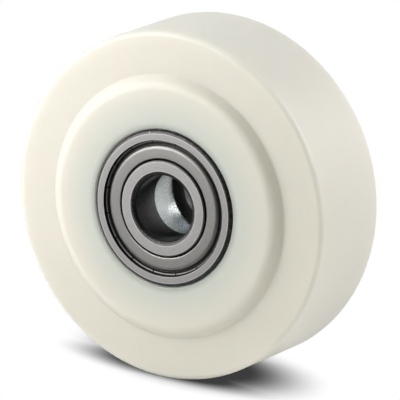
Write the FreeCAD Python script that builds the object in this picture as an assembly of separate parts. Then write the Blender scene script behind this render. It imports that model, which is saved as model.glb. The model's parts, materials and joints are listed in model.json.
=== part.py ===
import FreeCAD, Part
import math
import os

# All sizes are in millimetres and degrees. The axle runs along Y, the front faces -Y and +Z is up.

# Nylon wheel body
wheel_diameter = 160.0
tread_width = 50.0
tread_shoulder_radius = 2.5
boss_height = 4.3
boss_foot_diameter = 121.0
boss_flank_angle = 45.0
boss_edge_radius = 6.3
boss_foot_fillet = 1.2
seat_lead_in = 0.8
centre_shoulder_height = 4.5

# Ball bearing, one in each side of the hub
bearing_bore = 30.0
bearing_outer_diameter = 72.0
bearing_width = 19.0
bearing_stand_out = 0.7
seat_clearance = 0.01
outer_ring_corner = 1.75
inner_ring_corner = 2.2
inner_ring_edge_break = 0.55

# Balls and raceways
ball_diameter = 12.303
ball_count = 8
ball_clearance = 0.02
raceway_conformity = 1.04
inner_shoulder_height = 2.6
outer_shoulder_height = 2.12

# Shield recess in the outer ring
mouth_step = 1.68
mouth_edge_break = 0.2
mouth_depth = 1.5
snap_groove_depth = 0.4
shield_seat_depth = 3.0

# Pressed shield
shield_sheet = 0.45
shield_recess = 0.6
shield_lip_gap = 1.0
shield_lip_radius = 0.45
shield_lip_turn = 55.0
shield_shoulder_radius = 1.6
shield_wall_angle = 80.0
shield_valley_bend = 0.4
shield_valley_depth = 2.5
shield_valley_width = 0.35
curl_radius = 0.6
curl_rise_radius = 0.5
curl_rise_angle = 65.0
curl_crown_depth = 1.3
curl_clearance = 0.15
curl_slot_count = 16
curl_slot_width = 0.6
curl_slot_phase = 11.5

# Riveted ribbon cage
cage_sheet = 0.9
cage_band_width = 3.4
pocket_clearance = 0.1
rivet_diameter = 1.6
rivet_head_diameter = 2.8
rivet_head_height = 0.7
rivet_head_edge = 0.4
rivet_clearance = 0.01

# Spacer tube between the inner rings
spacer_outer_diameter = 42.4
spacer_wall = 2.0
spacer_edge_break = 0.3

# Values that follow from the sizes above
origin = FreeCAD.Vector(0, 0, 0)
axle = FreeCAD.Vector(0, 1, 0)
full_turn = 360.0
half_hub = tread_width / 2 + boss_height + bearing_stand_out
half_spacer = half_hub - bearing_width
half_bearing = bearing_width / 2
bearing_centre = half_hub - half_bearing
ring_outer = bearing_outer_diameter / 2
ring_bore = bearing_bore / 2
pitch_radius = (ring_outer + ring_bore) / 2
ball_radius = ball_diameter / 2
raceway_radius = ball_radius * raceway_conformity
inner_raceway_floor = pitch_radius - ball_radius - ball_clearance
outer_raceway_floor = pitch_radius + ball_radius + ball_clearance
inner_land = inner_raceway_floor + inner_shoulder_height
outer_land = outer_raceway_floor - outer_shoulder_height
mouth_radius = outer_land + mouth_step
pocket_radius = ball_radius + pocket_clearance
ball_step = full_turn / ball_count


def corner_arc(before, corner, after, radius):
    """Ends and middle of the arc that rounds one corner of an outline."""
    to_before = (before - corner).normalize()
    to_after = (after - corner).normalize()
    half_angle = to_before.getAngle(to_after) / 2
    middle_direction = (to_before + to_after).normalize()
    run = radius / math.tan(half_angle)
    centre = corner + middle_direction * (radius / math.sin(half_angle))
    return corner + to_before * run, centre - middle_direction * radius, corner + to_after * run


def revolved(outline):
    """Solid of revolution about the axle from (radius, y, corner radius) corners."""
    corners = [FreeCAD.Vector(radius, y, 0) for radius, y, rounding in outline]
    stations = []
    for index, (radius, y, rounding) in enumerate(outline):
        corner = corners[index]
        if rounding > 0:
            following = corners[(index + 1) % len(corners)]
            stations.append(corner_arc(corners[index - 1], corner, following, rounding))
        else:
            stations.append((corner, None, corner))
    edges = []
    for index, (start, middle, end) in enumerate(stations):
        if middle is not None:
            edges.append(Part.Arc(start, middle, end).toShape())
        following = stations[(index + 1) % len(stations)][0]
        edges.append(Part.LineSegment(end, following).toShape())
    return Part.Face(Part.Wire(edges)).revolve(origin, axle, full_turn)


def mirrored_outline(upper_half):
    """Closed outline from its upper half, listed from the bore outwards."""
    lower_half = [(radius, -y, rounding) for radius, y, rounding in reversed(upper_half)]
    return upper_half + lower_half


def ring(inner_radius, outer_radius, low, high):
    """Plain ring about the axle between two heights."""
    return revolved([(inner_radius, low, 0), (outer_radius, low, 0), (outer_radius, high, 0), (inner_radius, high, 0)])


def around_axle(shape, angle):
    """Copy of a shape turned about the axle, from +X towards +Z."""
    turned = shape.copy()
    turned.rotate(origin, axle, -angle)
    return turned


def wheel_body():
    rim_face = tread_width / 2
    boss_face = rim_face + boss_height
    flank = math.radians(boss_flank_angle)
    boss_foot = boss_foot_diameter / 2
    boss_edge = boss_foot - boss_height / math.tan(flank)
    flank_length = boss_height / math.sin(flank)
    largest_edge_radius = (flank_length - boss_foot_fillet) / math.tan(flank / 2)
    seat = ring_outer + seat_clearance
    return revolved(mirrored_outline([
        (ring_outer - centre_shoulder_height, half_spacer, 0),
        (seat, half_spacer, 0),
        (seat, boss_face - seat_lead_in, 0),
        (seat + seat_lead_in, boss_face, 0),
        (boss_edge, boss_face, min(boss_edge_radius, largest_edge_radius)),
        (boss_foot, rim_face, boss_foot_fillet),
        (wheel_diameter / 2, rim_face, tread_shoulder_radius),
    ]))


def spacer_tube():
    outer = spacer_outer_diameter / 2
    inner = outer - spacer_wall
    return revolved(mirrored_outline([
        (inner, half_spacer - spacer_edge_break, 0),
        (inner + spacer_edge_break, half_spacer, 0),
        (outer - spacer_edge_break, half_spacer, 0),
        (outer, half_spacer - spacer_edge_break, 0),
    ]))


def outer_ring():
    snap_groove = mouth_radius + snap_groove_depth
    blank = revolved(mirrored_outline([
        (outer_land, half_bearing - shield_seat_depth, 0),
        (snap_groove, half_bearing - shield_seat_depth, 0),
        (snap_groove, half_bearing - mouth_depth - snap_groove_depth, 0),
        (mouth_radius, half_bearing - mouth_depth, 0),
        (mouth_radius, half_bearing - mouth_edge_break, 0),
        (mouth_radius + mouth_edge_break, half_bearing, 0),
        (ring_outer, half_bearing, outer_ring_corner),
    ]))
    return blank.cut(Part.makeTorus(outer_raceway_floor - raceway_radius, raceway_radius, origin, axle))


def inner_ring():
    blank = revolved(mirrored_outline([
        (ring_bore, half_bearing, inner_ring_corner),
        (inner_land - inner_ring_edge_break, half_bearing, 0),
        (inner_land, half_bearing - inner_ring_edge_break, 0),
    ]))
    return blank.cut(Part.makeTorus(inner_raceway_floor + raceway_radius, raceway_radius, origin, axle))


class SheetPath:
    """Section of a bent sheet: a middle line of straight runs and bends, with the sheet's half on each side."""

    def __init__(self, start, heading, sheet):
        self.point = start
        self.heading = heading
        self.half = sheet / 2
        self.left_edges = []
        self.right_edges = []
        self.first_ends = self.sides()

    def across(self):
        angle = math.radians(self.heading + 90)
        return FreeCAD.Vector(math.cos(angle), math.sin(angle), 0)

    def sides(self):
        return self.point + self.across() * self.half, self.point - self.across() * self.half

    def run(self, length):
        starts = self.sides()
        angle = math.radians(self.heading)
        self.point = self.point + FreeCAD.Vector(math.cos(angle), math.sin(angle), 0) * length
        ends = self.sides()
        self.left_edges.append(Part.LineSegment(starts[0], ends[0]).toShape())
        self.right_edges.append(Part.LineSegment(starts[1], ends[1]).toShape())

    def bend(self, radius, turn):
        """Bends by an angle, positive to the left."""
        starts = self.sides()
        outward = self.across() * math.copysign(radius, -turn)
        centre = self.point - outward
        first_heading = self.heading
        middles = []
        for share in (0.5, 1.0):
            self.heading = first_heading + turn * share
            self.point = centre + self.across() * math.copysign(radius, -turn)
            middles.append(self.sides())
        halfway, ends = middles
        self.left_edges.append(Part.Arc(starts[0], halfway[0], ends[0]).toShape())
        self.right_edges.append(Part.Arc(starts[1], halfway[1], ends[1]).toShape())

    def revolve(self):
        last_ends = self.sides()
        caps = [Part.LineSegment(*ends).toShape() for ends in (self.first_ends, last_ends)]
        edges = Part.__sortEdges__(self.left_edges + self.right_edges + caps)
        return Part.Face(Part.Wire(edges)).revolve(origin, axle, full_turn)


def shield():
    """Shield on the +Y side of a bearing that is centred on the origin."""
    half_sheet = shield_sheet / 2
    flat_level = half_bearing - shield_recess - half_sheet
    valley_level = half_bearing - shield_valley_depth - half_sheet
    crown_level = half_bearing - curl_crown_depth - half_sheet
    seat_level = half_bearing - shield_seat_depth
    rise = math.radians(curl_rise_angle)
    tip_radius = mouth_radius + snap_groove_depth - curl_clearance - half_sheet
    slope_rise = crown_level - valley_level - (curl_rise_radius + curl_radius) * (1 - math.cos(rise))
    slope_length = slope_rise / math.sin(rise)
    curl_width = (curl_rise_radius + curl_radius) * math.sin(rise) + slope_length * math.cos(rise) + curl_radius
    wall = math.radians(shield_wall_angle)
    wall_bends = shield_shoulder_radius + shield_valley_bend
    wall_length = (flat_level - valley_level - wall_bends * (1 - math.cos(wall))) / math.sin(wall)
    wall_width = wall_bends * math.sin(wall) + wall_length * math.cos(wall)
    lip_turn = math.radians(shield_lip_turn)
    lip_start = inner_land + shield_lip_gap
    lip_drop = shield_lip_radius * (1 - math.cos(lip_turn))
    flat_start = lip_start + shield_lip_radius * math.sin(lip_turn)
    flat_end = tip_radius - curl_width - shield_valley_width - wall_width

    path = SheetPath(FreeCAD.Vector(lip_start, flat_level - lip_drop, 0), shield_lip_turn, shield_sheet)
    path.bend(shield_lip_radius, -shield_lip_turn)
    path.run(flat_end - flat_start)
    path.bend(shield_shoulder_radius, -shield_wall_angle)
    path.run(wall_length)
    path.bend(shield_valley_bend, shield_wall_angle)
    path.run(shield_valley_width)
    path.bend(curl_rise_radius, curl_rise_angle)
    path.run(slope_length)
    path.bend(curl_radius, -curl_rise_angle - 90)
    path.run(crown_level - curl_radius - seat_level)
    sheet = path.revolve()

    slot_start = tip_radius - curl_width + curl_rise_radius
    slot_length = ring_outer - slot_start
    corner = FreeCAD.Vector(slot_start, 0, -curl_slot_width / 2)
    slot = Part.makeBox(slot_length, half_bearing, curl_slot_width, corner)
    slot_step = full_turn / curl_slot_count
    slots = [around_axle(slot, curl_slot_phase + slot_step * index) for index in range(curl_slot_count)]
    return sheet.cut(Part.Compound(slots))


def on_pitch_circle(shape, angle):
    """Copy of a shape carried from the origin to the pitch circle."""
    carried = shape.copy()
    carried.translate(FreeCAD.Vector(pitch_radius, 0, 0))
    return around_axle(carried, angle)


def ball_angles():
    return [ball_step * index for index in range(ball_count)]


def rivet_angles():
    return [angle + ball_step / 2 for angle in ball_angles()]


def ball():
    return Part.makeSphere(ball_radius)


def cage_half():
    """Half of the cage on the +Y side of the balls' plane."""
    inner = pitch_radius - cage_band_width / 2
    outer = pitch_radius + cage_band_width / 2
    pocket_outside = pocket_radius + cage_sheet
    web = ring(inner, outer, 0, cage_sheet)
    band = ring(inner, outer, 0, pocket_outside * 2)
    cup = Part.makeSphere(pocket_outside)
    cups = [on_pitch_circle(cup, angle).common(band) for angle in ball_angles()]
    hollow = Part.makeSphere(pocket_radius)
    hollows = [on_pitch_circle(hollow, angle) for angle in ball_angles()]
    hole = Part.makeCylinder(rivet_diameter / 2 + rivet_clearance, cage_sheet, origin, axle)
    holes = [on_pitch_circle(hole, angle) for angle in rivet_angles()]
    return web.multiFuse(cups).cut(Part.Compound(hollows)).cut(Part.Compound(holes)).removeSplitter()


def rivet():
    shank = rivet_diameter / 2
    head = rivet_head_diameter / 2
    upper_half = [(head, cage_sheet, 0), (head, cage_sheet + rivet_head_height, rivet_head_edge)]
    upper_half = [(shank, cage_sheet, 0)] + upper_half + [(0, cage_sheet + rivet_head_height, 0)]
    lower_half = [(radius, -y, rounding) for radius, y, rounding in reversed(upper_half)]
    return revolved(upper_half + lower_half)


def other_way(shape):
    """Copy of a bearing piece on the other side of the bearing."""
    return shape.mirror(origin, axle)


def bearing_pieces(outboard):
    """Pieces of a bearing centred on the origin, with its outboard side along +Y or -Y."""
    sides = {"outboard": outboard, "inboard": -outboard}
    pieces = {"outer_ring": outer_ring(), "inner_ring": inner_ring()}
    for side, direction in sides.items():
        pieces[f"{side}_shield"] = shield() if direction > 0 else other_way(shield())
        pieces[f"cage_{side}_half"] = cage_half() if direction > 0 else other_way(cage_half())
    for number, angle in enumerate(ball_angles(), start=1):
        pieces[f"ball_{number}"] = on_pitch_circle(ball(), angle)
    for number, angle in enumerate(rivet_angles(), start=1):
        pieces[f"rivet_{number}"] = on_pitch_circle(rivet(), angle)
    return pieces


def wheel_pieces():
    pieces = {"wheel_body": wheel_body(), "spacer_tube": spacer_tube()}
    for end, outboard in {"front": -1, "rear": 1}.items():
        for name, shape in bearing_pieces(outboard).items():
            shape.translate(axle * (outboard * bearing_centre))
            pieces[f"{end}_bearing_{name}"] = shape
    return pieces


os.makedirs("parts", exist_ok=True)
for name, shape in wheel_pieces().items():
    shape.exportStep(f"parts/{name}.step")
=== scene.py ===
import json
import math
import bmesh
import bpy
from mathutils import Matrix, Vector


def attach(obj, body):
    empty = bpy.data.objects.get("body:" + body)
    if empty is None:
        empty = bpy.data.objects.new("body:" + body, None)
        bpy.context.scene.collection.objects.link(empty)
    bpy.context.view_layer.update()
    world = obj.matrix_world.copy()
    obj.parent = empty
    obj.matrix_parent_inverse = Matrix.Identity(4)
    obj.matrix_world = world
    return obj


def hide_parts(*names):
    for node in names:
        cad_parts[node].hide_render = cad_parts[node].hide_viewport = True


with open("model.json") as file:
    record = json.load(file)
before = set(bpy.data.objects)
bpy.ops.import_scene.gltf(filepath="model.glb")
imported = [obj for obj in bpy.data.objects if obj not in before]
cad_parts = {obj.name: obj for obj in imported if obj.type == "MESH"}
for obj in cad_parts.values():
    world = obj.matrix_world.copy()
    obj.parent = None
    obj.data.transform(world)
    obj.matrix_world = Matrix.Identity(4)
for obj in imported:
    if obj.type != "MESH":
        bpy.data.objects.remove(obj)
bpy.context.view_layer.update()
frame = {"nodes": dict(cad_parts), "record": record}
mm = 0.001
fullTurn = 2 * math.pi
white = (1.0, 1.0, 1.0, 1.0)
print("frame loaded,", len(frame["nodes"]), "nodes")


# node sockets as Python values: an expression on them adds Math nodes
class Sock:
    def __init__(self, tree, socket):
        self.tree = tree
        self.socket = socket

    @staticmethod
    def node(tree, kind, settings=None, inputs=None, output=0):
        made = tree.nodes.new(kind)
        for name, value in (settings or {}).items():
            setattr(made, name, value)
        for name, value in (inputs or {}).items():
            if isinstance(value, Sock):
                tree.links.new(value.socket, made.inputs[name])
            else:
                made.inputs[name].default_value = value
        return Sock(tree, made.outputs[output])

    def maths(self, operation, *items):
        return Sock.node(self.tree, "ShaderNodeMath", {"operation": operation}, dict(enumerate(items)))

    def step(self, operation, *others):  # the same with this socket as the first item
        return self.maths(operation, self, *others)

    def __add__(self, other):
        return self.step("ADD", other)

    def __sub__(self, other):
        return self.step("SUBTRACT", other)

    def __rsub__(self, other):
        return self.maths("SUBTRACT", other, self)

    def __mul__(self, other):
        return self.step("MULTIPLY", other)

    def __truediv__(self, other):
        return self.step("DIVIDE", other)

    def __pow__(self, other):
        return self.step("POWER", other)

    def __gt__(self, other):
        return self.step("GREATER_THAN", other)

    def __lt__(self, other):
        return self.step("LESS_THAN", other)


def ramp(value, low, high):
    settings = {"interpolation_type": "SMOOTHSTEP"}
    inputs = {"Value": value, "From Min": low, "From Max": high}
    return Sock.node(value.tree, "ShaderNodeMapRange", settings, inputs)


def split(vector):
    parts = Sock.node(vector.tree, "ShaderNodeSeparateXYZ", None, {0: vector})
    return [Sock(vector.tree, out) for out in parts.socket.node.outputs]


def joinXyz(tree, x, y, z):
    return Sock.node(tree, "ShaderNodeCombineXYZ", None, {0: x, 1: y, 2: z})


def radiusOf(x, z):
    return (x * x + z * z) ** 0.5


def turnOf(x, z):
    return z.step("ARCTAN2", x)


def blendColour(factor, first, second):  # inputs 6 and 7 and output 2 are the Mix node's colour sockets
    inputs = {0: factor, 6: first, 7: second}
    return Sock.node(factor.tree, "ShaderNodeMix", {"data_type": "RGBA"}, inputs, 2)


def tint(red, green, blue):  # screen values 0 to 255 as a linear colour, by the sRGB curve
    def linear(value):
        share = value / 255
        return share / 12.92 if share <= 0.04045 else ((share + 0.055) / 1.055) ** 2.4
    return (linear(red), linear(green), linear(blue), 1.0)


# outlines of turned pieces, in millimetres, as (radius, y) points
arcStep = math.radians(6)


def arcPoints(centre, radius, first, last):
    steps = max(2, math.ceil(abs(last - first) / arcStep))
    angles = [first + (last - first) * k / steps for k in range(steps + 1)]
    return [(centre[0] + radius * math.cos(a), centre[1] + radius * math.sin(a)) for a in angles]


def roundedCorner(before, corner, after, radius):
    corner = Vector(corner)
    toBefore = (Vector(before) - corner).normalized()
    toAfter = (Vector(after) - corner).normalized()
    half = toBefore.angle(toAfter) / 2
    middle = (toBefore + toAfter).normalized()
    centre = corner + middle * (radius / math.sin(half))
    start = corner + toBefore * (radius / math.tan(half)) - centre
    end = corner + toAfter * (radius / math.tan(half)) - centre
    first = math.atan2(start.y, start.x)
    sweep = (math.atan2(end.y, end.x) - first + math.pi) % fullTurn - math.pi
    return arcPoints(centre, radius, first, first + sweep)


def outline(corners):  # open path; a corner is (radius, y) or (radius, y, rounding)
    places = [c[:2] for c in corners]
    points = []
    for k, corner in enumerate(corners):
        if len(corner) == 3:
            points += roundedCorner(places[k - 1], places[k], places[k + 1], corner[2])
        else:
            points.append(places[k])
    return points


def mirrored(points):  # closed outline from its upper half, which starts and ends on the middle plane
    upper = points[1:-1]
    lower = [(r, -y) for r, y in reversed(upper)]
    return [points[0]] + upper + [points[-1]] + lower + [points[0]]


def sheetLine(start, heading, moves):  # middle line of a bent sheet; a move is (run,) or (bend radius, turn)
    place = Vector(start)
    points = [tuple(place)]
    for move in moves:
        angle = math.radians(heading)
        if len(move) == 1:
            place = place + Vector((math.cos(angle), math.sin(angle))) * move[0]
            points.append(tuple(place))
        else:
            side = math.copysign(1, move[1])
            centre = place + Vector((-math.sin(angle), math.cos(angle))) * side * move[0]
            first = angle - side * math.pi / 2
            bend = arcPoints(centre, move[0], first, first + math.radians(move[1]))
            points += bend[1:]
            place = Vector(bend[-1])
            heading += move[1]
    return points


# the lathe: turns an outline about the axle and can cut slots at equal steps
weldDistance = 1e-6
sharpFrom = math.radians(32)
latheInputs = {
    "Segments": ("NodeSocketInt", 192),
    "Slot Every": ("NodeSocketInt", 20),
    "Slot Start": ("NodeSocketFloat", 1.0),  # a metre, beyond any piece, so that no slot is cut
    "Phase": ("NodeSocketFloat", 0.0),
    "Finish": ("NodeSocketMaterial", None),
}


def growLathe():
    tree = bpy.data.node_groups.new("lathe", "GeometryNodeTree")
    tree.interface.new_socket("Geometry", in_out="INPUT", socket_type="NodeSocketGeometry")
    ids = {}
    for label, (kind, start) in latheInputs.items():
        made = tree.interface.new_socket(label, in_out="INPUT", socket_type=kind)
        if start is not None:
            made.default_value = start
        ids[label] = made.identifier
    tree.interface.new_socket("Geometry", in_out="OUTPUT", socket_type="NodeSocketGeometry")
    entry = tree.nodes.new("NodeGroupInput")
    given = {label: Sock(tree, entry.outputs[label]) for label in ("Geometry", *latheInputs)}

    # a grid of one unit: across it runs the turn, along it the points of the outline
    count = Sock.node(tree, "GeometryNodeAttributeDomainSize", {"component": "MESH"}, {0: given["Geometry"]})
    gridSize = {"Size X": 1.0, "Size Y": 1.0, "Vertices X": given["Segments"] + 1, "Vertices Y": count}
    grid = Sock.node(tree, "GeometryNodeMeshGrid", None, gridSize)
    place = Sock.node(tree, "GeometryNodeInputPosition")
    across, along, _ = split(place)
    index = ((along + 0.5) * (count - 1)).step("ROUND")
    sampled = Sock.node(tree, "GeometryNodeSampleIndex", {"data_type": "FLOAT_VECTOR"},
                        {"Geometry": given["Geometry"], "Value": place, "Index": index})
    radius, height, _ = split(sampled)
    turn = (across + 0.5) * fullTurn + given["Phase"]
    spot = joinXyz(tree, radius * turn.step("COSINE"), height, radius * turn.step("SINE"))
    turned = Sock.node(tree, "GeometryNodeSetPosition", None, {"Geometry": grid, "Position": spot})
    weld = {"Geometry": turned, "Distance": weldDistance}
    closed = Sock.node(tree, "GeometryNodeMergeByDistance", None, weld)

    # slots: faces in every so many cells, from the slot's start outwards
    x, _, z = split(place)
    angle = turnOf(x, z) - given["Phase"] + 2 * fullTurn
    cell = (angle / fullTurn * given["Segments"]).step("FLOOR")
    inSlot = cell.step("FLOORED_MODULO", given["Slot Every"]) < 0.5
    beyond = radiusOf(x, z) > given["Slot Start"]
    kept = Sock.node(tree, "GeometryNodeDeleteGeometry", {"domain": "FACE"}, {0: closed, 1: inSlot * beyond})
    real = Sock.node(tree, "GeometryNodeRealizeInstances", None, {0: kept})
    dress = {"Geometry": real, "Material": given["Finish"]}
    dressed = Sock.node(tree, "GeometryNodeSetMaterial", None, dress)
    leave = tree.nodes.new("NodeGroupOutput")
    tree.links.new(dressed.socket, leave.inputs[0])
    return tree, ids


latheTree, latheIds = growLathe()


# offset moves the piece along the axle and sheet is its thickness, both in millimetres
def turnPiece(name, points, finish, offset=0.0, sheet=0.0, **values):
    wire = bpy.data.meshes.new(name)
    spots = [(r * mm, (y + offset) * mm, 0) for r, y in points]
    wire.from_pydata(spots, [(k, k + 1) for k in range(len(spots) - 1)], [])
    piece = bpy.data.objects.new(name, wire)
    bpy.context.scene.collection.objects.link(piece)
    lathe = piece.modifiers.new("lathe", "NODES")
    lathe.node_group = latheTree
    for label, value in {"Finish": finish, **values}.items():
        lathe[latheIds[label]] = value
    if sheet:
        wall = piece.modifiers.new("sheet", "SOLIDIFY")
        wall.thickness = sheet * mm
        wall.offset = 0
        wall.use_even_offset = True
    settled = piece.evaluated_get(bpy.context.evaluated_depsgraph_get())
    piece.data = bpy.data.meshes.new_from_object(settled)
    piece.modifiers.clear()
    faceOutwards(piece.data)
    return piece


def faceOutwards(mesh):
    shell = bmesh.new()
    shell.from_mesh(mesh)
    bmesh.ops.recalc_face_normals(shell, faces=shell.faces)
    shell.to_mesh(mesh)
    shell.free()
    mesh.shade_smooth()
    mesh.set_sharp_from_angle(angle=sharpFrom)


def settle(piece, body, slot, *nodes):
    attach(piece, body)
    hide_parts(*nodes)


# sizes of one bearing, in millimetres; the finishes, the wheel body and the spacer use some of them too
bearingSizes = {
    "outer": 36.0,
    "bore": 15.0,
    "half": 9.5,
    "centre": 20.5,
    "outerCorner": 1.75,
    "innerCorner": 2.2,
    "innerEdge": 0.55,
    "innerEdgeRound": 0.08,
    "edgeBreak": 0.1,
    "ball": 6.1515,
    "ballClearance": 0.02,
    "conformity": 1.04,
    "innerShoulder": 2.6,
    "outerShoulder": 2.12,
    "mouthStep": 1.68,
    "mouthEdge": 0.2,
    "mouthEdgeRound": 0.06,
    "mouthDepth": 1.5,
    "snapGroove": 0.4,
    "shieldSeat": 3.0,
    "segments": 256,
}
pitch = (bearingSizes["outer"] + bearingSizes["bore"]) / 2
innerFloor = pitch - bearingSizes["ball"] - bearingSizes["ballClearance"]
outerFloor = pitch + bearingSizes["ball"] + bearingSizes["ballClearance"]
raceway = bearingSizes["ball"] * bearingSizes["conformity"]
innerLand = innerFloor + bearingSizes["innerShoulder"]
outerLand = outerFloor - bearingSizes["outerShoulder"]
mouth = outerLand + bearingSizes["mouthStep"]
halfSpacer = bearingSizes["centre"] - bearingSizes["half"]


# finishes
def newFinish(name):
    finish = bpy.data.materials.new(name)
    finish.use_nodes = True
    tree = finish.node_tree
    tree.nodes.clear()
    leave = tree.nodes.new("ShaderNodeOutputMaterial")
    shader = tree.nodes.new("ShaderNodeBsdfPrincipled")
    tree.links.new(shader.outputs[0], leave.inputs[0])
    return finish, tree, shader


def feed(shader, **sockets):
    for label, value in sockets.items():
        target = shader.inputs[label.replace("_", " ")]
        if isinstance(value, Sock):
            shader.id_data.links.new(value.socket, target)
        else:
            target.default_value = value


def objectPlace(tree):
    return Sock.node(tree, "ShaderNodeTexCoord", None, None, "Object")


def speckle(place, scale, detail=3.0, rough=0.55):
    inputs = {"Vector": place, "Scale": scale, "Detail": detail, "Roughness": rough}
    return Sock.node(place.tree, "ShaderNodeTexNoise", None, inputs)


def drawnSpeckle(tree, place, drawn):  # noise with a scale of its own along each of three coordinates
    stretched = [part * scale if scale else 0.0 for part, scale in zip(place, drawn["scales"])]
    return speckle(joinXyz(tree, *stretched), 1.0, drawn["detail"], drawn["rough"])


def bumpFrom(height, strength, depth):
    inputs = {"Strength": strength, "Distance": depth, "Height": height}
    return Sock.node(height.tree, "ShaderNodeBump", None, inputs, "Normal")


nylonLook = {
    "ivory": tint(231, 225, 218),
    "shade": tint(229, 224, 217),
    "mottleScale": 60.0,
    "mottle": (0.3, 0.7),
    # painted shade: a darker, cooler tint over the boss, strongest toward the bearing
    "bossPaintedShade": tint(213, 214, 210),
    "boss": (34.0 * mm, 58.0 * mm),
    # painted shade: a darker grey on the nylon next to the bearing seat
    "seatPaintedShade": tint(160, 162, 156),
    "seatShadeShare": 0.6,
    "seat": (36.0 * mm, 40.0 * mm),
    "toolPitch": 0.45 * mm,
    "toolShare": 0.25,
    "grainScale": 900.0,
    "grainDetail": 2.0,
    "rough": 0.40,
    "roughSpread": 0.12,
    "roughScale": 130.0,
    "bump": (0.05, 0.02 * mm),
    "glowDepth": 7.0 * mm,
    "glowReach": (1.0, 0.92, 0.90),
    "refraction": 1.53,
}


def nylonFinish():
    look = nylonLook
    finish, tree, shader = newFinish("castNylon")
    place = objectPlace(tree)
    x, _, z = split(place)
    radius = radiusOf(x, z)
    mottle = ramp(speckle(place, look["mottleScale"]), *look["mottle"])
    # painted shade over the boss, growing toward the bearing
    bossShadeMask = 1 - ramp(radius, *look["boss"])
    nearSeat = 1 - ramp(radius, *look["seat"])
    colour = blendColour(mottle, look["shade"], look["ivory"])
    colour = blendColour(bossShadeMask, colour, look["bossPaintedShade"])
    # painted shade on the nylon next to the bearing seat
    colour = blendColour(nearSeat * look["seatShadeShare"], colour, look["seatPaintedShade"])
    toolRings = (radius * (fullTurn / look["toolPitch"])).step("SINE")
    grain = speckle(place, look["grainScale"], look["grainDetail"])
    bump = bumpFrom(toolRings * look["toolShare"] + grain, *look["bump"])
    rough = speckle(place, look["roughScale"]) * look["roughSpread"] + look["rough"]
    feed(shader, Base_Color=colour, Roughness=rough, Normal=bump, IOR=look["refraction"])
    feed(shader, Subsurface_Weight=1.0, Subsurface_Scale=look["glowDepth"])
    feed(shader, Subsurface_Radius=look["glowReach"])
    return finish


ringLook = {
    "ground": tint(187, 186, 185),
    # painted light: the inner ring's ground face is a lighter copy of the same ground steel
    "groundInnerPaintedLight": tint(198, 197, 196),
    "line": tint(167, 166, 165),
    # painted highlight: a light band along the edges of the ground faces
    "paintedEdgeHighlight": tint(234, 233, 232),
    "turned": tint(120, 118, 116),
    # painted shade: the ground bore given a dark colour
    "bore": tint(78, 78, 79),
    "scale": tint(54, 53, 53),
    # painted shade: the inner rings' inboard faces are ground steel like the outboard ones, given a darker
    # colour
    "inboard": tint(104, 103, 102),
    "landFrom": 21.0 * mm,
    "landTo": 23.0 * mm,
    "boreTo": 15.03 * mm,
    "groundDepth": (0.004 * mm, 0.014 * mm),
    "rubbedDepth": (0.0, 0.45 * mm),
    "edges": (17.2 * mm, 21.35 * mm, 31.43 * mm, 34.25 * mm),
    "edgeWidth": 0.32 * mm,
    "lines": {"scales": (9000, 6, 0), "detail": 4.0, "rough": 0.7},
    "lineRange": (0.3, 0.7),
    "wear": {"scales": (2600, 50, 2600), "detail": 3.0, "rough": 0.6},
    "wearRange": (0.60, 0.72),
    "grainScale": 1500.0,
    "grainDetail": 2.0,
    "rustScale": 700.0,
    "rustDetail": 4.0,
    "rustRange": (0.35, 0.7),
    "bump": (0.06, 0.01 * mm),
    "bumpGrain": 0.5,
    "shares": {"land": 0.8, "rust": 0.25, "worn": 0.5, "rubbed": 0.12, "rubbedWorn": 0.7, "edge": 0.6},
    "rough": {"base": 0.46, "lines": 0.08, "grain": 0.05, "ground": 0.14, "bore": 0.24, "worn": 0.12},
}


def nearAny(radius, places, width):  # 1 on each of the radii, 0 beyond the width
    near = 0.0
    for place in places:
        off = (radius - place).step("ABSOLUTE")
        near = 1 - ramp(off, 0.0, width) + near
    return near


def axleDepth(y):  # how far a place lies behind the nearer face of its bearing
    aside = y.step("ABSOLUTE") - bearingSizes["centre"] * mm
    return bearingSizes["half"] * mm - aside.step("ABSOLUTE")


def ringFinish():
    look = ringLook
    share = look["shares"]
    finish, tree, shader = newFinish("bearingSteel")
    place = objectPlace(tree)
    x, y, z = split(place)
    radius = radiusOf(x, z)
    depth = axleDepth(y)
    around = (radius, turnOf(x, z), depth)
    outboard = y.step("ABSOLUTE") > bearingSizes["centre"] * mm
    ground = (1 - ramp(depth, *look["groundDepth"])) * outboard
    rubbed = (1 - ramp(depth, *look["rubbedDepth"])) * outboard
    edge = nearAny(radius, look["edges"], look["edgeWidth"])
    inner = radius < look["landTo"]
    land = (radius > look["landFrom"]) * inner
    bore = radius < look["boreTo"]
    lines = drawnSpeckle(tree, around, look["lines"])
    grain = speckle(place, look["grainScale"], look["grainDetail"])
    rust = ramp(speckle(place, look["rustScale"], look["rustDetail"]), *look["rustRange"])
    worn = ramp(drawnSpeckle(tree, around, look["wear"]), *look["wearRange"])

    colour = blendColour(land * share["land"], look["scale"], look["turned"])
    # painted shade on the inner rings' inboard faces
    colour = blendColour((1 - outboard) * inner, colour, look["inboard"])
    # painted shade in the bore
    colour = blendColour(bore, colour, look["bore"])
    colour = blendColour(rust * share["rust"], colour, look["turned"])
    colour = blendColour(worn * share["worn"] * (1 - bore), colour, look["ground"])
    colour = blendColour(rubbed * (worn * share["rubbedWorn"] + share["rubbed"]), colour, look["ground"])
    # painted light: the inner ring's face lighter than the outer ring's
    base = blendColour(inner, look["ground"], look["groundInnerPaintedLight"])
    face = blendColour(ramp(lines, *look["lineRange"]), base, look["line"])
    # painted highlight along the edges of the ground faces
    face = blendColour(edge * share["edge"], face, look["paintedEdgeHighlight"])
    colour = blendColour(ground, colour, face)

    part = look["rough"]
    rough = lines * part["lines"] + part["base"] + grain * part["grain"]
    rough = rough + ground * part["ground"] - bore * part["bore"] - worn * part["worn"] * (1 - ground)
    bump = bumpFrom(lines + grain * look["bumpGrain"], *look["bump"])
    feed(shader, Base_Color=colour, Metallic=1.0, Roughness=rough, Normal=bump)
    return finish


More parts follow.
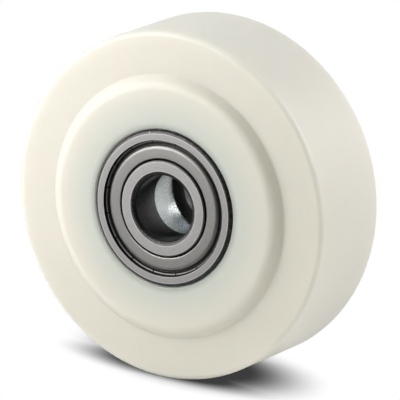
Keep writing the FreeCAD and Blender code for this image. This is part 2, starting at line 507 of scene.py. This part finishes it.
shieldLook = {
    "sheet": tint(165, 164, 161),
    "dull": tint(150, 149, 147),
    # painted highlight: a lighter line on the shield's inner lip
    "paintedEdgeHighlight": tint(222, 221, 219),
    # painted shade: the valley and the curl of the shield are darkened
    "paintedValleyShade": tint(54, 53, 52),
    "lines": {"scales": (4000, 9, 300), "detail": 4.0, "rough": 0.65},
    "lineRange": (0.3, 0.75),
    "smear": {"scales": (1500, 14, 900), "detail": 4.0, "rough": 0.6},
    "lip": (23.1 * mm, 23.5 * mm),
    "lipShare": 0.12,
    "crownDepth": (1.3 * mm, 1.5 * mm),
    "crownShare": 0.35,
    "valleyShadeDepth": (1.6 * mm, 2.5 * mm),
    "valleyShadeShare": 0.7,
    "smearShare": 0.4,
    "curl": (28.6 * mm, 29.2 * mm),
    "rough": 0.49,
    "roughLines": 0.10,
    "roughInValley": 0.19,
    "bump": (0.06, 0.01 * mm),
}


def shieldFinish():
    look = shieldLook
    finish, tree, shader = newFinish("pressedSheet")
    x, y, z = split(objectPlace(tree))
    radius = radiusOf(x, z)
    depth = axleDepth(y)
    around = (radius, turnOf(x, z), y)
    lines = drawnSpeckle(tree, around, look["lines"])
    smear = drawnSpeckle(tree, around, look["smear"])
    # painted shade in the valley and the curl, with less of it on the curl's crown, which makes a painted
    # highlight along it
    valleyShadeMask = ramp(depth, *look["valleyShadeDepth"]).step("MAXIMUM", ramp(radius, *look["curl"]))
    onLip = 1 - ramp(radius, *look["lip"])
    onCrown = valleyShadeMask * (1 - ramp(depth, *look["crownDepth"]))
    valleyShadeShare = valleyShadeMask * (smear * look["smearShare"] + look["valleyShadeShare"]) - onCrown * look["crownShare"]
    colour = blendColour(ramp(lines, *look["lineRange"]), look["sheet"], look["dull"])
    # painted highlight on the lip
    colour = blendColour(onLip * look["lipShare"], colour, look["paintedEdgeHighlight"])
    # painted shade in the valley and the curl
    colour = blendColour(valleyShadeShare, colour, look["paintedValleyShade"])
    rough = lines * look["roughLines"] + look["rough"] - valleyShadeMask * look["roughInValley"]
    bump = bumpFrom(lines + smear * valleyShadeMask, *look["bump"])
    feed(shader, Base_Color=colour, Metallic=1.0, Roughness=rough, Normal=bump)
    return finish


tubeLook = {
    "plate": tint(240, 247, 245),
    "streak": tint(220, 226, 226),
    "slantTurn": 60,  # scales of the slanting streaks, by the turn and along the axle
    "slantAxle": 1600,
    "alongAxle": 60,
    "alongTurn": 2,
    "streakDetail": 5.0,
    "streakGrain": 0.7,
    "streakRange": (0.35, 0.7),
    "streakShare": 0.7,
    "cloudScale": 160.0,
    "cloudRange": (0.4, 0.7),
    "cloudShare": 0.3,
    "feed": 0.4 * mm,
    "feedDepth": 0.024 * mm,
    "feedShare": 0.5,
    "streakHeight": 0.4,
    "metallic": 0.95,
    "rough": 0.18,
    "roughStreak": 0.16,
}


def tubeFinish():
    look = tubeLook
    finish, tree, shader = newFinish("platedTube")
    place = objectPlace(tree)
    x, y, z = split(place)
    turn = turnOf(x, z)
    across = turn * look["slantTurn"] + y * look["slantAxle"]
    slant = joinXyz(tree, across, y * look["alongAxle"], turn * look["alongTurn"])
    streak = speckle(slant, 1.0, look["streakDetail"], look["streakGrain"])
    streaky = ramp(streak, *look["streakRange"]) * look["streakShare"]
    cloudy = ramp(speckle(place, look["cloudScale"]), *look["cloudRange"]) * look["cloudShare"]
    colour = blendColour(streaky + cloudy, look["plate"], look["streak"])
    thread = (y * (fullTurn / look["feed"]) + turn).step("SINE")
    marks = thread * look["feedShare"] + streak * look["streakHeight"]
    rough = streak * look["roughStreak"] + look["rough"]
    bump = bumpFrom(marks, 1.0, look["feedDepth"])
    feed(shader, Base_Color=colour, Metallic=look["metallic"], Roughness=rough, Normal=bump)
    return finish


oiledLook = {"cloudScale": 420.0, "cloudRange": (0.35, 0.7), "roughSpread": 0.08, "bump": (0.03, 0.01 * mm)}


def oiledFinish(name, bright, dark, rough):
    look = oiledLook
    finish, tree, shader = newFinish(name)
    cloud = speckle(objectPlace(tree), look["cloudScale"])
    colour = blendColour(ramp(cloud, *look["cloudRange"]), bright, dark)
    cloudyRough = cloud * look["roughSpread"] + rough
    bump = bumpFrom(cloud, *look["bump"])
    feed(shader, Base_Color=colour, Metallic=1.0, Roughness=cloudyRough, Normal=bump)
    return finish


finishes = {
    "nylon": nylonFinish(),
    "ring_steel": ringFinish(),
    "shield_steel": shieldFinish(),
    "plated_tube": tubeFinish(),
    "cage_steel": oiledFinish("cageStrip", tint(112, 108, 102), tint(84, 80, 75), 0.40),
    "ball_steel": oiledFinish("greasedBall", tint(84, 81, 76), tint(64, 61, 57), 0.46),
}
print("finishes made:", ", ".join(finishes))


# nylon wheel body
wheelSizes = {
    "radius": 80.0,
    "halfTread": 25.0,
    "treadShoulder": 2.5,
    "bossHeight": 4.3,
    "bossFoot": 60.5,
    "flankAngle": 45.0,
    "bossEdge": 6.3,
    "footFillet": 1.2,
    "seatClearance": 0.01,
    "leadIn": 0.8,
    "edgeBreak": 0.12,
    "shoulderBore": 31.5,
    "segments": 320,
}


def makeWheelBody():
    size = wheelSizes
    seat = bearingSizes["outer"] + size["seatClearance"]
    bossFace = size["halfTread"] + size["bossHeight"]
    bossTop = size["bossFoot"] - size["bossHeight"] / math.tan(math.radians(size["flankAngle"]))
    upper = outline([
        (size["shoulderBore"], 0),
        (size["shoulderBore"], halfSpacer, size["edgeBreak"]),
        (seat, halfSpacer),
        (seat, bossFace - size["leadIn"], size["edgeBreak"]),
        (seat + size["leadIn"], bossFace, size["edgeBreak"]),
        (bossTop, bossFace, size["bossEdge"]),
        (size["bossFoot"], size["halfTread"], size["footFillet"]),
        (size["radius"], size["halfTread"], size["treadShoulder"]),
        (size["radius"], 0),
    ])
    piece = turnPiece("nylonWheel", mirrored(upper), finishes["nylon"], Segments=size["segments"])
    settle(piece, "wheel", "nylon", "wheel_body")


spacerSizes = {"outer": 21.2, "inner": 19.2, "edgeBreak": 0.3, "edgeRound": 0.1, "segments": 192}


def makeSpacer():
    size = spacerSizes
    cut = size["edgeBreak"]
    upper = outline([
        (size["inner"], 0),
        (size["inner"], halfSpacer - cut, size["edgeRound"]),
        (size["inner"] + cut, halfSpacer, size["edgeRound"]),
        (size["outer"] - cut, halfSpacer, size["edgeRound"]),
        (size["outer"], halfSpacer - cut, size["edgeRound"]),
        (size["outer"], 0),
    ])
    piece = turnPiece("spacerTube", mirrored(upper), finishes["plated_tube"], Segments=size["segments"])
    settle(piece, "axle_set", "plated_tube", "spacer_tube")


# bearings
def racewayArc(floor, land, outward):  # half of the groove, from its floor on the middle plane to the land
    centre = floor - raceway * outward
    reach = math.acos((land - centre) * outward / raceway)
    if outward > 0:
        return arcPoints((centre, 0), raceway, 0, reach)
    return arcPoints((centre, 0), raceway, math.pi, math.pi - reach)


def outerRingOutline():
    size = bearingSizes
    groove = mouth + size["snapGroove"]
    half = size["half"]
    path = outline([
        (outerLand, 0),
        (outerLand, half - size["shieldSeat"], size["edgeBreak"]),
        (groove, half - size["shieldSeat"]),
        (groove, half - size["mouthDepth"] - size["snapGroove"]),
        (mouth, half - size["mouthDepth"], size["edgeBreak"]),
        (mouth, half - size["mouthEdge"], size["mouthEdgeRound"]),
        (mouth + size["mouthEdge"], half, size["mouthEdgeRound"]),
        (size["outer"], half, size["outerCorner"]),
        (size["outer"], 0),
    ])
    return mirrored(racewayArc(outerFloor, outerLand, 1) + path[1:])


def innerRingOutline():
    size = bearingSizes
    half = size["half"]
    path = outline([
        (size["bore"], 0),
        (size["bore"], half, size["innerCorner"]),
        (innerLand - size["innerEdge"], half, size["innerEdgeRound"]),
        (innerLand, half - size["innerEdge"], size["innerEdgeRound"]),
        (innerLand, 0),
    ])
    return mirrored(path[:-1] + racewayArc(innerFloor, innerLand, -1)[::-1])


shieldSizes = {
    "sheet": 0.45,
    "recess": 0.6,
    "lipGap": 1.0,
    "lipRoll": 0.45,
    "lipTurn": 55.0,
    "shoulder": 1.6,
    "wallAngle": 80.0,
    "valleyBend": 0.4,
    "valleyDepth": 2.5,
    "valleyWidth": 0.35,
    "curl": 0.6,
    "curlRise": 0.5,
    "riseAngle": 65.0,
    "crownDepth": 1.3,
    "curlClearance": 0.15,
    "slots": 16,
    "cellsPerSlot": 20,
    "slotPhase": 11.5,
}


# middle line of the sheet on the +Y side of a bearing centred on the origin, and where its slots start
def shieldLine():
    size = shieldSizes
    half = bearingSizes["half"]
    thin = size["sheet"] / 2
    flat = half - size["recess"] - thin
    valley = half - size["valleyDepth"] - thin
    crown = half - size["crownDepth"] - thin
    rise = math.radians(size["riseAngle"])
    roll = math.radians(size["lipTurn"])
    lean = math.radians(size["wallAngle"])
    tip = mouth + bearingSizes["snapGroove"] - size["curlClearance"] - thin
    bends = size["curl"] + size["curlRise"]
    slope = (crown - valley - bends * (1 - math.cos(rise))) / math.sin(rise)
    curlWidth = bends * math.sin(rise) + slope * math.cos(rise) + size["curl"]
    turns = size["shoulder"] + size["valleyBend"]
    wall = (flat - valley - turns * (1 - math.cos(lean))) / math.sin(lean)
    wallWidth = turns * math.sin(lean) + wall * math.cos(lean)
    lip = innerLand + size["lipGap"]
    flatStart = lip + size["lipRoll"] * math.sin(roll)
    flatEnd = tip - curlWidth - size["valleyWidth"] - wallWidth
    moves = [
        (size["lipRoll"], -size["lipTurn"]),
        (flatEnd - flatStart,),
        (size["shoulder"], -size["wallAngle"]),
        (wall,),
        (size["valleyBend"], size["wallAngle"]),
        (size["valleyWidth"],),
        (size["curlRise"], size["riseAngle"]),
        (slope,),
        (size["curl"], -size["riseAngle"] - 90),
        (crown - size["curl"] - half + bearingSizes["shieldSeat"],),
    ]
    start = (lip, flat - size["lipRoll"] * (1 - math.cos(roll)))
    return sheetLine(start, size["lipTurn"], moves), tip - curlWidth + size["curlRise"]


def makeBearing(end, side):  # side is -1 in front and +1 behind
    size = bearingSizes
    centre = side * size["centre"]
    node = end + "_bearing_"
    rings = {"OuterRing": (outerRingOutline(), "outer_ring", "wheel"),
             "InnerRing": (innerRingOutline(), "inner_ring", "axle_set")}
    for label, (points, part, body) in rings.items():
        piece = turnPiece(end + label, points, finishes["ring_steel"], centre, Segments=size["segments"])
        settle(piece, body, "ring_steel", node + part)
    line, slotStart = shieldLine()
    cells = shieldSizes["slots"] * shieldSizes["cellsPerSlot"]
    phase = math.radians(shieldSizes["slotPhase"]) - math.pi / cells
    slotted = {"Slot Every": shieldSizes["cellsPerSlot"], "Slot Start": slotStart * mm}
    for label, facing in {"outboard": side, "inboard": -side}.items():
        points = [(r, y * facing) for r, y in line]
        piece = turnPiece(end + label.capitalize() + "Shield", points, finishes["shield_steel"], centre,
                          shieldSizes["sheet"], Segments=cells, Phase=phase, **slotted)
        settle(piece, "wheel", "shield_steel", node + label + "_shield")


makeWheelBody()
makeSpacer()
for end, side in {"front": -1, "rear": 1}.items():
    makeBearing(end, side)

slotOf = {row["node"]: row["material_slot"] for row in frame["record"]["subparts"]}
for name, node in frame["nodes"].items():
    node.data.materials.clear()
    node.data.materials.append(finishes[slotOf[name]])
print("wheel, spacer and bearings made")


# floor, light and camera; the stage is in metres
floorLook = {
    "size": 6.0,
    "pale": (0.91, 0.91, 0.90, 1.0),
    "shadowDark": 0.046,
    "shadowReach": 0.03,
    "shadowSamples": 16,
    "shadowContact": 0.17,
    "shadow": (0.57, 1.58),
    "ovals": (  # soft ovals of painted shadow about the line the wheel stands on
        {"centre": (-6.1 * mm, -10.5 * mm), "spread": (56.5 * mm, 14.9 * mm), "turn": -0.247},
        {"centre": (-5.0 * mm, 5.4 * mm), "spread": (61.7 * mm, 27.7 * mm), "turn": -0.352},
    ),
}


def paintedFloorShadow(tree):  # painted shadow: the ovals, darker where the wheel stands close over the floor
    look = floorLook
    x, y, _ = split(objectPlace(tree))
    away = None
    for oval in look["ovals"]:
        cos, sin = math.cos(oval["turn"]), math.sin(oval["turn"])
        right = x - oval["centre"][0]
        back = y - oval["centre"][1]
        along = (right * cos + back * sin) / oval["spread"][0]
        across = (back * cos - right * sin) / oval["spread"][1]
        out = radiusOf(along, across)
        away = away.step("MINIMUM", out) if away else out
    openSky = Sock.node(tree, "ShaderNodeAmbientOcclusion", {"samples": look["shadowSamples"]},
                        {"Distance": look["shadowReach"]}, "AO")
    lit = ramp(away + openSky * look["shadowContact"], *look["shadow"])
    return lit * (1 - look["shadowDark"]) + look["shadowDark"]


def litOrSeen(tree):  # 1 where the eye, a mirror or glass looks, 0 where only light arrives
    path = tree.nodes.new("ShaderNodeLightPath")
    looks = ("Is Camera Ray", "Is Glossy Ray", "Is Transmission Ray")
    eye, mirror, glass = [Sock(tree, path.outputs[label]) for label in looks]
    return (eye + mirror + glass).step("MINIMUM", 1.0)


def makeCard(name, corners, finish):
    mesh = bpy.data.meshes.new(name)
    mesh.from_pydata(corners, [], [(0, 1, 2, 3)])
    mesh.materials.append(finish)
    card = bpy.data.objects.new(name, mesh)
    bpy.context.scene.collection.objects.link(card)
    return card


def makeFloor():  # matte to the light it throws back, plain white with a painted shadow of the wheel to the eye
    look = floorLook
    half = look["size"] / 2
    drop = -wheelSizes["radius"] * mm
    finish = bpy.data.materials.new("paleFloor")
    finish.use_nodes = True
    tree = finish.node_tree
    tree.nodes.clear()
    matte = Sock.node(tree, "ShaderNodeBsdfDiffuse", None, {"Color": look["pale"]})
    glow = Sock.node(tree, "ShaderNodeEmission", None, {"Color": white, "Strength": paintedFloorShadow(tree)})
    mixed = Sock.node(tree, "ShaderNodeMixShader", None, {0: litOrSeen(tree), 1: matte, 2: glow})
    leave = tree.nodes.new("ShaderNodeOutputMaterial")
    tree.links.new(mixed.socket, leave.inputs[0])
    corners = ((-half, -half, drop), (half, -half, drop), (half, half, drop), (-half, half, drop))
    floor = makeCard("floor", corners, finish)


flagLook = {
    "black": (0.012, 0.012, 0.012, 1.0),
    "rough": 0.9,
    "corners": {
        "rightFlag": ((0.0, -0.275, -0.078), (0.275, 0.01, -0.078),
                      (0.72, -0.06, 0.50), (0.12, -0.71, 0.50)),
        # painted shade: a black card on the floor in front of the wheel, seen only in reflections
        "floorShadeCard": ((-0.25, -0.25, -0.079), (0.10, -0.25, -0.079),
                      (0.10, -0.07, -0.079), (-0.25, -0.07, -0.079)),
    },
}


def makeFlags():  # black cards beside the camera and in front of the wheel, there for the metal to mirror; the card in front is painted shade, a dark sheet on the floor where the floor near the wheel lies in shade
    look = flagLook
    finish, _, shader = newFinish("blackCloth")
    feed(shader, Base_Color=look["black"], Roughness=look["rough"], Specular_IOR_Level=0.0)
    for name, corners in look["corners"].items():
        flag = makeCard(name, corners, finish)
        flag.visible_camera = flag.visible_diffuse = flag.visible_shadow = False


worldLook = {
    "ambient": (0.57, 0.93, 0.57, 1.0),
    "ambientPower": 0.154,
    "ceilingColour": (0.20, 0.23, 0.25, 1.0),
    "ceiling": (0.36, 0.62),
}


def makeWorld():  # dim soft fill; where it is seen, white up to a darker ceiling
    look = worldLook
    world = bpy.data.worlds.new("studio")
    world.use_nodes = True
    tree = world.node_tree
    tree.nodes.clear()
    dim = {"Color": look["ambient"], "Strength": look["ambientPower"]}
    fill = Sock.node(tree, "ShaderNodeBackground", None, dim)
    _, _, height = split(Sock.node(tree, "ShaderNodeTexCoord", output="Generated"))
    wall = blendColour(ramp(height, *look["ceiling"]), white, look["ceilingColour"])
    backdrop = Sock.node(tree, "ShaderNodeBackground", None, {"Color": wall, "Strength": 1.0})
    mixed = Sock.node(tree, "ShaderNodeMixShader", None, {0: litOrSeen(tree), 1: fill, 2: backdrop})
    leave = tree.nodes.new("ShaderNodeOutputWorld")
    tree.links.new(mixed.socket, leave.inputs[0])
    bpy.context.scene.world = world


lamps = {
    "keySoftbox": {"at": (-0.25, -0.30, 0.25), "size": (0.62, 0.44),
                   "watts": 2.50, "colour": (1.0, 0.977, 0.969)},
    "topSoftbox": {"at": (0.0, 0.60, 1.00), "size": (0.80, 0.80),
                   "watts": 1.28, "colour": (0.853, 0.84, 1.0)},
    "rightSoftbox": {"at": (0.80, 0.45, 0.60), "size": (0.70, 0.70),
                     "watts": 8.5, "colour": (1.0, 0.964, 0.984)},
}


def makeLamps():
    for name, lamp in lamps.items():
        data = bpy.data.lights.new(name, "AREA")
        data.shape = "ELLIPSE"
        data.size, data.size_y = lamp["size"]
        data.energy = lamp["watts"]
        data.color = lamp["colour"]
        light = bpy.data.objects.new(name, data)
        light.location = lamp["at"]
        light.visible_camera = False
        light.rotation_euler = (-Vector(lamp["at"])).to_track_quat("-Z", "Y").to_euler()
        bpy.context.scene.collection.objects.link(light)


# angles in degrees, places and sensor in millimetres
cameraSetup = {
    "azimuth": 31.75,
    "elevation": 13.842,
    "away": 2795.7,
    "aimRight": 1.018,
    "aimUp": -2.141,
    "focalPixels": 6191.1,
    "imagePixels": 400,
    "sensor": 36.0,
    "clipEnd": 20000.0,
}


def makeCamera():
    setup = cameraSetup
    azimuth = math.radians(setup["azimuth"])
    elevation = math.radians(setup["elevation"])
    back = Vector((
        math.sin(azimuth) * math.cos(elevation),
        -math.cos(azimuth) * math.cos(elevation),
        math.sin(elevation),
    ))
    right = Vector((math.cos(azimuth), math.sin(azimuth), 0))
    up = back.cross(right)
    data = bpy.data.cameras.new("camera")
    data.sensor_width = setup["sensor"]
    data.lens = setup["focalPixels"] * setup["sensor"] / setup["imagePixels"]
    data.clip_end = setup["clipEnd"] * mm
    camera = bpy.data.objects.new("camera", data)
    camera.location = (right * setup["aimRight"] + up * setup["aimUp"] + back * setup["away"]) * mm
    camera.rotation_euler = back.to_track_quat("Z", "Y").to_euler()
    bpy.context.scene.collection.objects.link(camera)
    bpy.context.scene.camera = camera


makeFloor()
makeFlags()
makeWorld()
makeLamps()
makeCamera()
bpy.context.scene.view_settings.view_transform = "Standard"
print("stage set")
